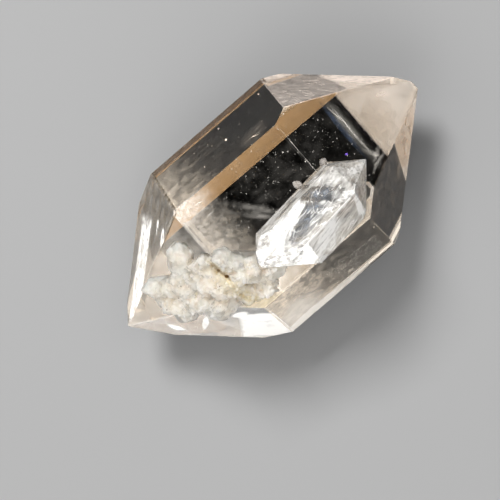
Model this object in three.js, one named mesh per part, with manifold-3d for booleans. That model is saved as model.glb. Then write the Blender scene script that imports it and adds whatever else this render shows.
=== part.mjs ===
// A Herkimer diamond: one doubly terminated quartz crystal about 34 mm long, with a second,
// smaller doubly terminated crystal grown across its top face and a crust of tiny crystals on
// its lower end. All of it grew together, so it is one solid.
//
// Every crystal is the space inside a set of flat faces. Quartz fixes the directions of those
// faces: six prism faces around the long c axis and six sloping faces at each end. Only the
// distance of each face from the crystal's centre changes from one crystal to the next.
//
// Millimetres and degrees. A crystal's own frame has its c axis along +X, its first prism face
// looking along +Z, and the other prism faces following at 60 degree steps towards +Y.

import * as THREE from 'three';
import Module from 'manifold-3d';

// ---- Quartz --------------------------------------------------------------------------------

const PRISM_STEP = 60;
const END_FACE_POLE = 51.79; // angle between the c axis and the normal of an end face

// ---- Main crystal: distance of each face from the centre, in steps of 60 degrees ------------

const MAIN = {
  prism: [8.56, 8.64, 7.09, 7.48, 8.25, 8.62],
  upper: [9.63, 10.67, 10.4, 10.43, 10.6, 10.26],
  lower: [10.87, 10.88, 11.32, 10.28, 11.83, 10.63],
};
const RESTING_FACE = 3; // the prism face that it lies on
const TERRACE_FACE = 0; // the prism face on top, which has a lower terrace on one side
const TERRACE_DROP = 2.29; // how far the terrace lies below the rest of the top face
const RISER_FACE = 5; // the step down to the terrace is parallel to this prism face
const RISER_DISTANCE = 6.45;
const HEADING = 40.6; // of the c axis, from +X towards +Y

// ---- Small crystal, grown across the terrace and the step -----------------------------------

const RIDER = {
  prism: [2.41, 2.78, 2.06, 2.6, 2.72, 2.31],
  upper: [4.2, 4.43, 4.3, 4.3, 3.83, 3.89],
  lower: [4.2, 5.03, 4.46, 4.3, 3.68, 3.36],
};
const RIDER_SEAT = { at: [2.23, -3.29, 8.21], heading: 5.9, dip: 11.7, roll: -9.75 };

// ---- Crust of small crystals on the lower end -----------------------------------------------

// The crust follows a line in plan, from the lower tip to the small crystal.
const CRUST_START = [-12.7, 0.1];
const CRUST_END = [-3.9, -4.5];
const CRUST_HALF_WIDTH = [1.27, 2.3]; // at its two ends, and halfway
const CRUST_LUMPS = 14;
const CRUST_POINTS = 44;
const LUMP_RADIUS = [1.0, 1.45];
const LUMP_FACES = 16;
const LUMP_BULGE = [0.78, 1.08]; // distance of a lump's faces, over its radius
const LUMP_SINK = 0.4; // depth of a lump's middle under the face it grew on, over its radius
const LUMP_SWAY = 0.75; // how far the row of lumps winds from side to side, over the half width
const LUMP_SWAY_STEP = 2.4; // radians of that winding from one lump to the next
const POINT_RADIUS = [0.35, 0.72];
const POINT_STRETCH = [1.2, 1.7]; // end distance over prism distance
const POINT_LIFT = 0.5; // height of a point's middle over the face it grew on, over its radius
const POINT_LEAN = 65; // most that a point's c axis leans from upright
const SEED = 4711;

// Larger grains that stand out of the crust: centre in plan, height of the centre over the
// face below, radius of the prism, stretch, and the direction of the c axis.
const GRAINS = {
  dome: { plan: [-9.3, 1.2], lift: 0.2, radius: 0.9, stretch: 1.7, heading: 48, rise: 38 },
  endPoint: { plan: [-11.8, 0.8], lift: 0.35, radius: 0.85, stretch: 1.6, heading: 150, rise: 4 },
  clear: { plan: [-6.6, -1.3], lift: 0.3, radius: 0.95, stretch: 1.25, heading: 5, rise: 30 },
  round: { plan: [-4.8, -2.7], lift: 0.4, radius: 1.05, stretch: 1.25, heading: 60, rise: 55 },
  neck: { plan: [-3.6, -3.6], lift: 0.6, radius: 1.3, stretch: 1.2, heading: -10, rise: 20 },
};

// Two tiny grains beside the small crystal.
const SPECKS = {
  shoulder: { plan: [5.65, -0.05], lift: 0, radius: 0.4, stretch: 1.2, heading: 20, rise: 30 },
  flank: { plan: [2.85, -0.1], lift: 0, radius: 0.4, stretch: 1.2, heading: 110, rise: 20 },
};

const CRYSTAL_COLOUR = '#e9d8c8';

// ---- Solids from flat faces -------------------------------------------------------------------

const radians = THREE.MathUtils.degToRad;
const SAME_POINT = 1e-5;
const PARALLEL = 1e-6; // three faces whose normals span less than this have no corner
const UPRIGHT = 0.01; // a face whose normal rises less than this has no height over a point
const BEYOND = 30; // past every face of the specimen

/** A face as the plane normal . p = distance. */
function face(normal, distance) {
  return { normal: normal.clone().normalize(), distance };
}

/** The outward direction of a prism face. */
function prismNormal(n) {
  const turn = radians(n * PRISM_STEP);
  return new THREE.Vector3(0, Math.sin(turn), Math.cos(turn));
}

/** The faces of a quartz crystal from their distances. */
function quartzFaces({ prism, upper, lower }) {
  const along = Math.cos(radians(END_FACE_POLE));
  const outward = Math.sin(radians(END_FACE_POLE));
  const faces = [];
  for (let n = 0; n < 6; n += 1) {
    const sloping = (end) => prismNormal(n).multiplyScalar(outward).setX(end * along);
    faces.push(face(prismNormal(n), prism[n]), face(sloping(1), upper[n]), face(sloping(-1), lower[n]));
  }
  return faces;
}

/** Distances for a small crystal with even faces, stretched along its c axis. */
function evenDistances(radius, stretch) {
  const prism = Array(6).fill(radius);
  const end = Array(6).fill(radius * stretch);
  return { prism, upper: end, lower: end };
}

/** The point where three faces meet, or null if they don't. */
function corner(a, b, c) {
  const bc = b.normal.clone().cross(c.normal);
  const volume = a.normal.dot(bc);
  if (Math.abs(volume) < PARALLEL) return null;
  const point = bc.multiplyScalar(a.distance);
  point.add(c.normal.clone().cross(a.normal).multiplyScalar(b.distance));
  point.add(a.normal.clone().cross(b.normal).multiplyScalar(c.distance));
  return point.divideScalar(volume);
}

/** All corners of the space inside the faces, each with the faces that meet there. */
function cornersOf(faces) {
  const corners = [];
  const inside = (p) => faces.every((f) => f.normal.dot(p) <= f.distance + SAME_POINT);
  for (let i = 0; i < faces.length; i += 1) {
    for (let j = i + 1; j < faces.length; j += 1) {
      for (let k = j + 1; k < faces.length; k += 1) {
        const point = corner(faces[i], faces[j], faces[k]);
        if (point === null || !inside(point)) continue;
        const known = corners.find((c) => c.point.distanceTo(point) < SAME_POINT);
        const on = known ?? { point, faces: new Set() };
        [i, j, k].forEach((n) => on.faces.add(n));
        if (!known) corners.push(on);
      }
    }
  }
  return corners;
}

/** The corners of one face in order around its normal. */
function ringOf(corners, faceIndex, normal) {
  const ring = corners.map((c, index) => ({ ...c, index })).filter((c) => c.faces.has(faceIndex));
  if (ring.length < 3) return [];
  const centre = ring.reduce((sum, c) => sum.add(c.point), new THREE.Vector3()).divideScalar(ring.length);
  const right = ring[0].point.clone().sub(centre).normalize();
  const ahead = normal.clone().cross(right);
  const turn = ({ point }) => {
    const arm = point.clone().sub(centre);
    return Math.atan2(arm.dot(ahead), arm.dot(right));
  };
  return ring.sort((a, b) => turn(a) - turn(b)).map((c) => c.index);
}

/** The closed geometry of the space inside the faces. */
function solidGeometry(faces) {
  const corners = cornersOf(faces);
  const triangles = [];
  faces.forEach(({ normal }, n) => {
    const ring = ringOf(corners, n, normal);
    for (let i = 1; i + 1 < ring.length; i += 1) triangles.push(ring[0], ring[i], ring[i + 1]);
  });
  const geometry = new THREE.BufferGeometry().setFromPoints(corners.map((c) => c.point));
  return geometry.setIndex(triangles);
}

/** Turns a crystal's c axis to a heading and a dip below level, after a roll about itself. */
function seat(geometry, { at, heading, dip, roll }) {
  const turn = new THREE.Euler(radians(roll), radians(dip), radians(heading), 'ZYX');
  geometry.applyQuaternion(new THREE.Quaternion().setFromEuler(turn));
  return geometry.translate(...at);
}

// ---- Joining ------------------------------------------------------------------------------------

const wasm = await Module();
wasm.setup();

function toManifold(geometry) {
  return new wasm.Manifold(new wasm.Mesh({
    numProp: 3,
    vertProperties: new Float32Array(geometry.getAttribute('position').array),
    triVerts: new Uint32Array(geometry.getIndex().array),
  }));
}

function toGeometry(manifold) {
  const { vertProperties, triVerts } = manifold.getMesh();
  const geometry = new THREE.BufferGeometry();
  geometry.setAttribute('position', new THREE.BufferAttribute(vertProperties, 3));
  return geometry.setIndex(new THREE.BufferAttribute(triVerts, 1));
}

/** The outer shell alone, so that gaps sealed in between grown-together crystals are filled. */
function filled(manifold) {
  const larger = (shell, other) => (shell.volume() > other.volume() ? shell : other);
  return manifold.decompose().reduce(larger);
}

// ---- Main crystal ---------------------------------------------------------------------------------

const TERRACE_DISTANCE = MAIN.prism[TERRACE_FACE] - TERRACE_DROP;

/** The main crystal, with the space over its terrace cut away down to the riser. */
function mainSolid() {
  const turnedOver = (n, distance) => face(prismNormal(n).negate(), -distance);
  const over = [turnedOver(TERRACE_FACE, TERRACE_DISTANCE), turnedOver(RISER_FACE, RISER_DISTANCE)];
  const bounds = quartzFaces(evenDistances(BEYOND, 1));
  return toManifold(solidGeometry(quartzFaces(MAIN)))
    .subtract(toManifold(solidGeometry([...over, ...bounds])));
}

/** The main crystal as two sets of faces that overlap: beside the terrace, and below it. */
function mainParts() {
  const beside = { ...MAIN, prism: MAIN.prism.with(RISER_FACE, RISER_DISTANCE) };
  const below = { ...MAIN, prism: MAIN.prism.with(TERRACE_FACE, TERRACE_DISTANCE) };
  return [quartzFaces(beside), quartzFaces(below)];
}

/** Height of the main crystal's upper surface over a point in plan. */
function surfaceHeight(parts, x, y) {
  const heightInside = (faces) => Math.min(...faces
    .filter((f) => f.normal.z > UPRIGHT)
    .map((f) => (f.distance - f.normal.x * x - f.normal.y * y) / f.normal.z));
  return Math.max(...parts.map(heightInside));
}

// ---- Crust ----------------------------------------------------------------------------------------

function smallCrystal(radius, stretch) {
  return solidGeometry(quartzFaces(evenDistances(radius, stretch)));
}

/** A repeatable stream of numbers from 0 to 1, by Lehmer's generator. */
function seededStream(seed) {
  const multiplier = 16807;
  const modulus = 2 ** 31 - 1;
  let state = seed;
  return () => {
    state = (state * multiplier) % modulus;
    return state / modulus;
  };
}

const between = ([low, high], share) => low + (high - low) * share;

/** An irregular lump with flat faces, spread evenly over the directions. */
function lumpGeometry(radius, random) {
  const faces = [];
  for (let i = 0; i < LUMP_FACES; i += 1) {
    const height = 1 - (2 * i + 1) / LUMP_FACES;
    const turn = i * Math.PI * (3 - Math.sqrt(5));
    const flat = Math.sqrt(1 - height * height);
    const normal = new THREE.Vector3(flat * Math.cos(turn), flat * Math.sin(turn), height);
    faces.push(face(normal, radius * between(LUMP_BULGE, random())));
  }
  return solidGeometry(faces);
}

/** A point of the crust in plan: along is 0 to 1 from the lower tip, across is -1 to 1. */
function crustPlan(along, across) {
  const start = new THREE.Vector2(...CRUST_START);
  const end = new THREE.Vector2(...CRUST_END);
  const line = end.clone().sub(start);
  const side = new THREE.Vector2(-line.y, line.x).normalize();
  const width = between(CRUST_HALF_WIDTH, Math.sin(Math.PI * along));
  return start.addScaledVector(line, along).addScaledVector(side, across * width);
}

function crustLumps(parts, random) {
  return Array.from({ length: CRUST_LUMPS }, (_, i) => {
    const spot = crustPlan((i + 0.5) / CRUST_LUMPS, LUMP_SWAY * Math.sin(LUMP_SWAY_STEP * i));
    const radius = between(LUMP_RADIUS, random());
    const height = surfaceHeight(parts, spot.x, spot.y) - LUMP_SINK * radius;
    return lumpGeometry(radius, random).translate(spot.x, spot.y, height);
  });
}

function crustPoints(parts, random) {
  return Array.from({ length: CRUST_POINTS }, () => {
    const spot = crustPlan(random(), 2 * random() - 1);
    const radius = between(POINT_RADIUS, random());
    const geometry = smallCrystal(radius, between(POINT_STRETCH, random()));
    const height = surfaceHeight(parts, spot.x, spot.y) + POINT_LIFT * radius;
    const rise = 90 - POINT_LEAN * random();
    return seat(geometry, {
      at: [spot.x, spot.y, height], heading: 360 * random(), dip: -rise, roll: 60 * random(),
    });
  });
}

function grain(parts, { plan, lift, radius, stretch, heading, rise }) {
  const geometry = smallCrystal(radius, stretch);
  const height = surfaceHeight(parts, ...plan) + lift;
  return seat(geometry, { at: [...plan, height], heading, dip: -rise, roll: 0 });
}

// ---- The whole specimen -----------------------------------------------------------------------------

function specimenGeometry() {
  const parts = mainParts();
  const random = seededStream(SEED);
  const grown = [
    seat(solidGeometry(quartzFaces(RIDER)), RIDER_SEAT),
    ...crustLumps(parts, random),
    ...crustPoints(parts, random),
    ...Object.values({ ...GRAINS, ...SPECKS }).map((g) => grain(parts, g)),
  ];
  return toGeometry(filled(wasm.Manifold.union([mainSolid(), ...grown.map(toManifold)])));
}

/** Lays the specimen on its resting face, with the middle of its outline over the origin. */
function lieDown(specimen) {
  specimen.rotation.z = radians(HEADING);
  const middle = new THREE.Box3().setFromObject(specimen, true).getCenter(new THREE.Vector3());
  specimen.position.set(-middle.x, -middle.y, MAIN.prism[RESTING_FACE]);
}

const crystal = new THREE.Mesh(
  specimenGeometry(),
  new THREE.MeshStandardMaterial({ color: CRYSTAL_COLOUR, roughness: 0.06, metalness: 0 }),
);
crystal.name = 'herkimer_crystal';
lieDown(crystal);

const group = new THREE.Group();
group.add(crystal);

export default group;
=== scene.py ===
"""Dresses a doubly terminated quartz crystal, the smaller crystal on it and its crust.

Every crystal is cleaved from a block by the flat faces that quartz has: six prism faces
around the long c axis and six sloping faces at each end. Lengths are in millimetres while a
piece is worked, and it is brought to metres when it is finished.
"""

import logging
import math
from dataclasses import dataclass, replace
from enum import Enum

import bpy
from mathutils import Euler, Matrix, Quaternion, Vector


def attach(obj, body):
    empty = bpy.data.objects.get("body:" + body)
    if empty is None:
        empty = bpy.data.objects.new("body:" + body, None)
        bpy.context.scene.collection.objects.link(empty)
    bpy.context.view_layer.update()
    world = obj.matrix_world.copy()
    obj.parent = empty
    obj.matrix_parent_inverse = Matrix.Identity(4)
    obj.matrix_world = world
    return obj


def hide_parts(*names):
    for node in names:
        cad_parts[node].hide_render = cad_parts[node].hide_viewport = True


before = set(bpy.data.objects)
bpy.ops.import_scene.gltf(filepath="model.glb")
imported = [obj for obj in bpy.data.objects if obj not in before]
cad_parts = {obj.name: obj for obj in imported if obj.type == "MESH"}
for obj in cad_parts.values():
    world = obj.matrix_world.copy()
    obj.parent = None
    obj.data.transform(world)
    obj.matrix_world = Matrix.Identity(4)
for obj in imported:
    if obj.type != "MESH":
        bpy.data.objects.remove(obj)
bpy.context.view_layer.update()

log = logging.getLogger("crystal")

MM = 0.001
PRISM_FACES = 6
PRISM_STEP = 60.0  # Degrees from one prism face to the next.
END_FACE_POLE = 51.79  # Degrees between c and the normal of an end face.
HEADING = 40.6  # Degrees from X to the main crystal's c axis.
LYING = Matrix.Rotation(math.radians(HEADING), 3, "Z")
CENTRE = Vector((0.3028, 0.3712, 7.48))
ORIGIN = Vector((0, 0, 0))
IOR = 1.544


# ---- Faces of quartz -----------------------------------------------------------------------------


@dataclass(frozen=True)
class Face:
    """A flat face as the plane normal . p = distance, in millimetres."""

    normal: Vector
    distance: float

    def turned(self, turn: Matrix, at: Vector) -> "Face":
        """Moves the face with its crystal.

        Args:
            turn: Rotation from the crystal's own axes.
            at: Where the crystal's centre goes.

        Returns:
            The same face in the place that the crystal takes.
        """
        normal = turn @ self.normal
        return Face(normal, self.distance + normal.dot(at))

    def moved(self, out: float) -> "Face":
        """Moves the face outwards, or inwards where the distance is negative."""
        return Face(self.normal, self.distance + out)

    def back(self) -> "Face":
        """Gives the same plane, facing the other way."""
        return Face(-self.normal, -self.distance)


def prism_normal(index: float) -> Vector:
    """Gives the outward direction of a prism face.

    Args:
        index: Number of the face, from 0 on top, in steps of 60 degrees to the left of c.

    Returns:
        The unit normal, in the crystal's axes: c along X and face 0 along Z.
    """
    turn = math.radians(index * PRISM_STEP)
    return Vector((0.0, math.sin(turn), math.cos(turn)))


def end_normal(index: float, end: int) -> Vector:
    """Gives the outward direction of a sloping end face.

    Args:
        index: Number of the prism face that it stands over.
        end: 1 for the upper end, -1 for the lower end.

    Returns:
        The unit normal in the crystal's axes.
    """
    pole = math.radians(END_FACE_POLE)
    normal = prism_normal(index) * math.sin(pole)
    normal.x = end * math.cos(pole)
    return normal


@dataclass(frozen=True)
class Habit:
    """Distances of a crystal's faces from its centre, in steps of 60 degrees."""

    prism: tuple[float, ...]
    upper: tuple[float, ...]
    lower: tuple[float, ...]

    def side(self, index: int) -> Face:
        """Gives a prism face."""
        return Face(prism_normal(index), self.prism[index])

    def tip(self, index: int) -> Face:
        """Gives a face of the upper end."""
        return Face(end_normal(index, 1), self.upper[index])

    def foot(self, index: int) -> Face:
        """Gives a face of the lower end."""
        return Face(end_normal(index, -1), self.lower[index])

    def faces(self) -> list[Face]:
        """Lists all eighteen faces in the crystal's own axes."""
        kinds = (self.side, self.tip, self.foot)
        return [kind(index) for kind in kinds for index in range(PRISM_FACES)]


@dataclass(frozen=True)
class Seat:
    """Where a crystal sits: its centre, and how its c axis and top face turn, in degrees."""

    at: Vector
    heading: float = 0.0
    dip: float = 0.0
    roll: float = 0.0

    def turn(self) -> Matrix:
        """Gives the rotation from the crystal's axes to those of what carries it."""
        angles = (math.radians(a) for a in (self.roll, self.dip, self.heading))
        return Euler(tuple(angles), "XYZ").to_matrix()


# ---- Work on meshes ------------------------------------------------------------------------------


class Bench:
    """The modelling steps that the pieces share.

    A block to cleave has edges of BLOCK, a cut takes in points within THRESHOLD of it, edges
    with a turn of more than SHARP are softened, and EVENNESS is how far one round smooths.
    """

    BLOCK = 80.0
    THRESHOLD = 1e-4
    SHARP = math.radians(20)
    EVENNESS = 0.5

    @staticmethod
    def clear() -> None:
        """Deselects every object."""
        bpy.ops.object.select_all(action="DESELECT")

    @staticmethod
    def take(piece: bpy.types.Object) -> None:
        """Selects one object alone and makes it the active one.

        Args:
            piece: The object.
        """
        Bench.clear()
        piece.select_set(True)
        bpy.context.view_layer.objects.active = piece

    @staticmethod
    def block(name: str, at: Vector, size: float = BLOCK) -> bpy.types.Object:
        """Adds a cube to cleave.

        Args:
            name: Name of the object.
            at: Centre of the cube, in millimetres.
            size: Length of its edges.

        Returns:
            The cube, with its place in its mesh.
        """
        Bench.clear()
        bpy.ops.mesh.primitive_cube_add(size=size, location=(0, 0, 0))
        cube = bpy.context.active_object
        cube.name = name
        cube.data.name = name
        bpy.ops.object.mode_set(mode="EDIT")
        bpy.ops.mesh.select_all(action="SELECT")
        bpy.ops.transform.translate(value=at)
        bpy.ops.object.mode_set(mode="OBJECT")
        return cube

    @staticmethod
    def cleave(piece: bpy.types.Object, faces: list[Face]) -> None:
        """Cuts away what lies outside each face and closes the cut.

        Args:
            piece: A closed convex mesh.
            faces: The faces to cut, in millimetres.
        """
        Bench.take(piece)
        bpy.ops.object.mode_set(mode="EDIT")
        for face in faces:
            bpy.ops.mesh.select_all(action="SELECT")
            bpy.ops.mesh.bisect(
                plane_co=face.normal * face.distance,
                plane_no=face.normal,
                use_fill=True,
                clear_outer=True,
                threshold=Bench.THRESHOLD,
            )
        bpy.ops.object.mode_set(mode="OBJECT")

    @staticmethod
    def subtract(piece: bpy.types.Object, cutter: bpy.types.Object) -> None:
        """Takes a cutter's space out of a piece.

        Args:
            piece: A closed mesh.
            cutter: Another one, which is used up.
        """
        Bench.take(piece)
        step = piece.modifiers.new("Notch", "BOOLEAN")
        step.operation = "DIFFERENCE"
        step.solver = "EXACT"
        step.object = cutter
        bpy.ops.object.modifier_apply(modifier=step.name)
        bpy.data.objects.remove(cutter)

    @staticmethod
    def soften(piece: bpy.types.Object, width: float) -> None:
        """Takes the sharpness off the edges between faces.

        Args:
            piece: The piece, in millimetres.
            width: Width of the narrow face along each edge.
        """
        Bench.take(piece)
        step = piece.modifiers.new("Soften", "BEVEL")
        step.width = width
        step.segments = 1
        step.limit_method = "ANGLE"
        step.angle_limit = Bench.SHARP
        step.use_clamp_overlap = True
        bpy.ops.object.modifier_apply(modifier=step.name)

    @staticmethod
    def copy(piece: bpy.types.Object, name: str) -> bpy.types.Object:
        """Copies a piece.

        Args:
            piece: What to copy.
            name: Name of the copy.

        Returns:
            The copy, with a mesh of its own.
        """
        made = bpy.data.objects.new(name, piece.data.copy())
        bpy.context.scene.collection.objects.link(made)
        return made

    @staticmethod
    def join(name: str, pieces: list[bpy.types.Object]) -> bpy.types.Object:
        """Joins pieces into one object.

        Args:
            name: Name of the object made.
            pieces: The pieces, which are used up.

        Returns:
            The one object.
        """
        Bench.clear()
        for piece in pieces:
            piece.select_set(True)
        bpy.context.view_layer.objects.active = pieces[0]
        bpy.ops.object.join()
        whole = bpy.context.active_object
        whole.name = name
        whole.data.name = name
        return whole

    @staticmethod
    def grow_together(piece: bpy.types.Object, voxel: float, rounds: int) -> None:
        """Melts overlapping solids into one lumpy skin.

        Args:
            piece: The solids, joined into one object.
            voxel: Size of the finest detail kept.
            rounds: How often the skin is smoothed.
        """
        Bench.take(piece)
        melt = piece.modifiers.new("Melt", "REMESH")
        melt.mode = "VOXEL"
        melt.voxel_size = voxel
        bpy.ops.object.modifier_apply(modifier=melt.name)
        even = piece.modifiers.new("Even", "SMOOTH")
        even.factor = Bench.EVENNESS
        even.iterations = rounds
        bpy.ops.object.modifier_apply(modifier=even.name)

    @staticmethod
    def to_metres(piece: bpy.types.Object) -> None:
        """Shrinks a finished mesh from millimetres to metres, about the origin.

        Args:
            piece: The piece.
        """
        Bench.take(piece)
        piece.scale = (MM, MM, MM)
        bpy.ops.object.transform_apply(location=False, rotation=False, scale=True)

    @staticmethod
    def flat(piece: bpy.types.Object) -> None:
        """Shades every face flat."""
        Bench.take(piece)
        bpy.ops.object.shade_flat()


def lie_down(faces: list[Face]) -> list[Face]:
    """Moves faces from the main crystal's axes to where the specimen lies."""
    return [face.turned(LYING, CENTRE) for face in faces]


class Draws:
    """A repeatable stream of numbers from 0 to 1, by Lehmer's generator."""

    MULTIPLIER = 16807
    MODULUS = 2**31 - 1

    def __init__(self, seed: int) -> None:
        """Starts the stream."""
        self.state = seed

    def next(self) -> float:
        """Draws the next number."""
        self.state = self.state * self.MULTIPLIER % self.MODULUS
        return self.state / self.MODULUS

    def between(self, span: tuple[float, float]) -> float:
        """Draws a number between two others."""
        return span[0] + (span[1] - span[0]) * self.next()


# ---- Finishes ------------------------------------------------------------------------------------


@dataclass(frozen=True)
class Patch:
    """A soft-edged area of a film or stain, in millimetres, seen from straight above.

    It lies around `at`, and its length runs along `way`. `soft` and `ragged` are shares of its
    size, and a square one has corners.
    """

    at: tuple[float, float]
    way: tuple[float, float]
    half_length: float
    half_width: float
    amount: float
    soft: float = 0.25
    ragged: float = 0.5
    square: bool = False


@dataclass(frozen=True)
class Dots:
    """Round dots: cells per metre, largest radius in cells, share of cells filled, strength."""

    scale: float
    radius: float
    share: float
    strength: float


@dataclass(frozen=True)
class Threads:
    """Thin lines: lines per metre, how far they stretch, turn in degrees, width, strength."""

    scale: float
    stretch: float
    turn: float
    width: float
    strength: float


class Sketch:
    """A material under construction, with short ways to add and join its nodes.

    Most of a noise lies within NOISE_MIDDLE. Threads are broken by gaps of a coarser noise, and
    a dot's radius is DOT_LEAST of the largest one and up to DOT_REST more. With a higher
    DOT_FALL, fewer dots are bright.
    """

    NOISE_MIDDLE = (0.35, 0.65)
    GAP_SCALE = 0.4
    GAP_SHIFT = Vector((0.01, 0.0, 0.0))
    GAP_SPAN = (0.45, 0.6)
    DOT_LEAST = 0.3
    DOT_REST = 0.7
    DOT_FALL = 3.0

    def __init__(self, name: str) -> None:
        """Starts an empty material with a Principled surface.

        Args:
            name: Name of the material.
        """
        self.material = bpy.data.materials.new(name)
        self.material.use_nodes = True
        self.tree = self.material.node_tree
        self.shader = self.tree.nodes["Principled BSDF"]
        self.output = self.tree.nodes["Material Output"]
        self.place = self.node("ShaderNodeTexCoord").outputs["Object"]

    def node(self, kind: str, **settings: object) -> bpy.types.Node:
        """Adds a node.

        Args:
            kind: The node's type name.
            **settings: Properties to set on it.

        Returns:
            The new node.
        """
        made = self.tree.nodes.new(kind)
        for key, value in settings.items():
            setattr(made, key, value)
        return made

    def feed(self, node: bpy.types.Node, **inputs: object) -> bpy.types.Node:
        """Sets or links a node's inputs by name, with underscores for spaces.

        Args:
            node: The node.
            **inputs: A value, or an output socket to link.

        Returns:
            The same node.
        """
        for key, value in inputs.items():
            socket = node.inputs[int(key[1:]) if key[1:].isdigit() else key.replace("_", " ")]
            if isinstance(value, bpy.types.NodeSocket):
                self.tree.links.new(value, socket)
            else:
                socket.default_value = value
        return node

    def noise(self, scale: float, detail: float = 2.0, roughness: float = 0.5,
              stretch: float = 1.0, turn: float = 0.0,
              at: Vector = ORIGIN) -> bpy.types.NodeSocket:
        """Adds a noise in object space.

        Args:
            scale: Features per metre.
            detail: Number of finer layers.
            roughness: Strength of the finer layers.
            stretch: Length of the features, along X after the turn.
            turn: Turn about Z, in degrees.
            at: Shift of the pattern, in metres.

        Returns:
            The noise value's socket.
        """
        mapped = self.node("ShaderNodeMapping", vector_type="TEXTURE")
        self.feed(mapped, Vector=self.place, Location=at, Scale=Vector((stretch, 1.0, 1.0)),
                  Rotation=(0.0, 0.0, math.radians(turn)))
        found = self.node("ShaderNodeTexNoise")
        self.feed(found, Vector=mapped.outputs["Vector"], Scale=scale, Detail=detail,
                  Roughness=roughness)
        return found.outputs["Fac"]

    def math(self, operation: str, *values: object) -> bpy.types.NodeSocket:
        """Adds arithmetic on up to three values.

        Args:
            operation: Blender's name for it.
            *values: Numbers, or output sockets to link.

        Returns:
            The result's socket.
        """
        made = self.node("ShaderNodeMath", operation=operation)
        for index, value in enumerate(values):
            self.feed(made, **{f"i{index}": value})
        return made.outputs[0]

    def ramp(self, value: bpy.types.NodeSocket, start: float, end: float,
             low: float = 0.0, high: float = 1.0) -> bpy.types.NodeSocket:
        """Maps a value smoothly from one range to another.

        Args:
            value: The value's socket.
            start: Value that gives `low`.
            end: Value that gives `high`.
            low: Result at the start and beyond it.
            high: Result at the end and beyond it.

        Returns:
            The result's socket.
        """
        made = self.node("ShaderNodeMapRange", interpolation_type="SMOOTHSTEP")
        self.feed(made, Value=value, From_Min=start, From_Max=end, To_Min=low, To_Max=high)
        return made.outputs["Result"]

    def swing(self, noise: bpy.types.NodeSocket, amount: float) -> bpy.types.NodeSocket:
        """Makes a noise a factor around 1, up to `amount` more or less."""
        return self.ramp(noise, *self.NOISE_MIDDLE, 1.0 - amount, 1.0 + amount)

    def along(self, way: Vector, at: Vector = ORIGIN) -> bpy.types.NodeSocket:
        """Measures how far along a direction a place is.

        Args:
            way: The direction, of any length.
            at: Where it is measured from, in metres.

        Returns:
            The distance's socket, in metres.
        """
        moved = self.feed(self.node("ShaderNodeVectorMath", operation="SUBTRACT"),
                          i0=self.place, i1=at)
        dot = self.feed(self.node("ShaderNodeVectorMath", operation="DOT_PRODUCT"),
                        i0=moved.outputs[0], i1=way.normalized())
        return dot.outputs["Value"]

    def threads(self, threads: Threads) -> bpy.types.NodeSocket:
        """Draws thin wandering lines that run mostly one way.

        Args:
            threads: How they look.

        Returns:
            The lines' strength, and 0 between them.
        """
        way = self.noise(threads.scale, stretch=threads.stretch, turn=threads.turn)
        off = self.math("ABSOLUTE", self.math("SUBTRACT", way, 0.5))
        line = self.ramp(off, threads.width, 0.0)
        gaps = self.noise(threads.scale * self.GAP_SCALE, detail=1.0, at=self.GAP_SHIFT)
        here = self.ramp(gaps, *self.GAP_SPAN)
        return self.math("MULTIPLY", self.math("MULTIPLY", line, here), threads.strength)

    def dots(self, dots: Dots) -> bpy.types.NodeSocket:
        """Scatters round dots of mixed sizes and strengths, the same at every height.

        Args:
            dots: How they look.

        Returns:
            Up to 1 in the dots and 0 between them.
        """
        radius, share = dots.radius, dots.share
        cells = self.feed(self.node("ShaderNodeTexVoronoi", voronoi_dimensions="2D"),
                          Vector=self.place, Scale=dots.scale)
        draw = self.feed(self.node("ShaderNodeSeparateColor"), Color=cells.outputs["Color"])
        held = self.math("LESS_THAN", draw.outputs[0], share)
        reach = self.math("MULTIPLY_ADD", draw.outputs[1], self.DOT_REST * radius,
                          self.DOT_LEAST * radius)
        inside = self.math("LESS_THAN", cells.outputs["Distance"], reach)
        shine = self.math("POWER", draw.outputs[2], self.DOT_FALL)
        return self.math("MULTIPLY", inside, self.math("MULTIPLY", held, shine))

    def patch(self, patch: Patch, wander: bpy.types.NodeSocket) -> bpy.types.NodeSocket:
        """Covers a long or round area with soft uneven edges.

        Args:
            patch: Where it lies and how strong it is.
            wander: A noise that moves its edges.

        Returns:
            The patch's strength, and 0 outside it.
        """
        way = Vector((*patch.way, 0.0)).normalized()
        side = Vector((-way.y, way.x, 0.0))
        at = Vector((*patch.at, 0.0)) * MM
        ends = self.math("ABSOLUTE", self.along(way, at))
        sides = self.math("ABSOLUTE", self.along(side, at))
        ends = self.math("DIVIDE", ends, patch.half_length * MM)
        sides = self.math("DIVIDE", sides, patch.half_width * MM)
        if patch.square:
            far = self.math("MAXIMUM", ends, sides)
        else:
            squares = [self.math("MULTIPLY", off, off) for off in (ends, sides)]
            far = self.math("SQRT", self.math("ADD", *squares))
        moved = self.math("MULTIPLY_ADD", wander, patch.ragged, far)
        middle = 1.0 + 0.5 * patch.ragged
        return self.ramp(moved, middle + patch.soft, middle - patch.soft, 0.0, patch.amount)

    def blend(self, share: bpy.types.NodeSocket, first: object,
              second: object) -> bpy.types.NodeSocket:
        """Mixes two colours.

        Args:
            share: How much there is of the second one.
            first: A colour, or an output socket to link.
            second: Likewise.

        Returns:
            The mixed colour's socket.
        """
        made = self.node("ShaderNodeMix", data_type="RGBA")
        colours = [(*c, 1.0) if isinstance(c, tuple) else c for c in (first, second)]
        self.feed(made, i0=share, i6=colours[0], i7=colours[1])
        return made.outputs[2]

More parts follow.
